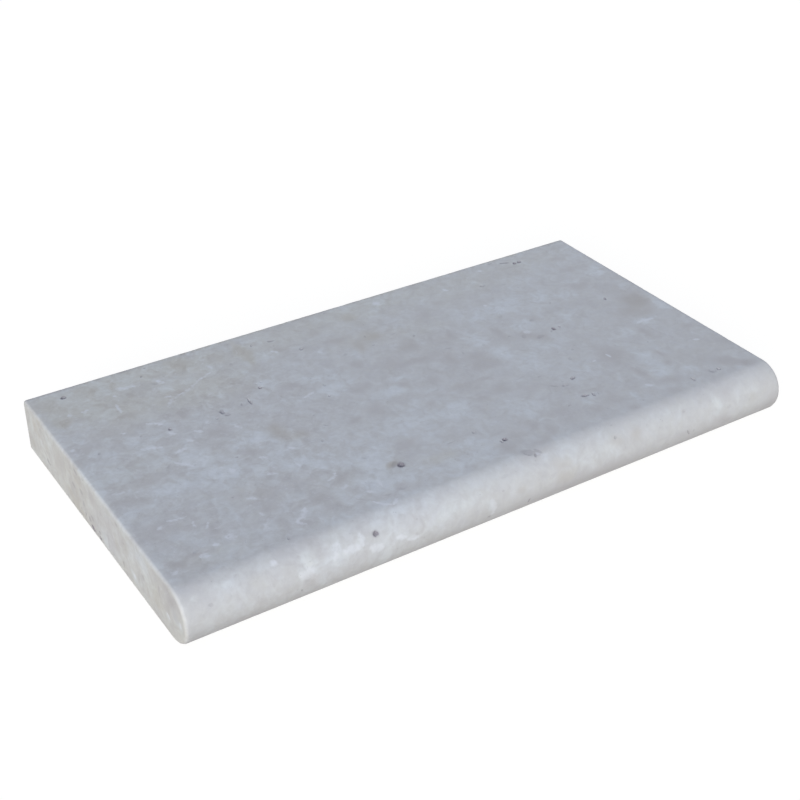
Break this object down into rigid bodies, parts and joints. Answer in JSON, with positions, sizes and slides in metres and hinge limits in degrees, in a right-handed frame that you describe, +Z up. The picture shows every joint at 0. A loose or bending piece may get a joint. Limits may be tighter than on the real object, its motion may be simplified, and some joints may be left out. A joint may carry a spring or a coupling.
{
  "type": "pool coping stone",
  "caption": "Travertine slab that caps the rim of a pool, with a full bullnose along its front and square sawn ends and back.",
  "frame": {"origin": "under the middle of the stone, at the level of its bed", "axes": "+X along the rim, -Y out of the bullnose over the water, +Z up out of the tread"},
  "size_m": [0.61, 0.33, 0.052],
  "materials": {
    "travertine": "honed tread and nose, sawn ends and bed, with open pores"
  },
  "bodies": {
    "root": {"coping_stone": "travertine"}
  },
  "joints": []
}
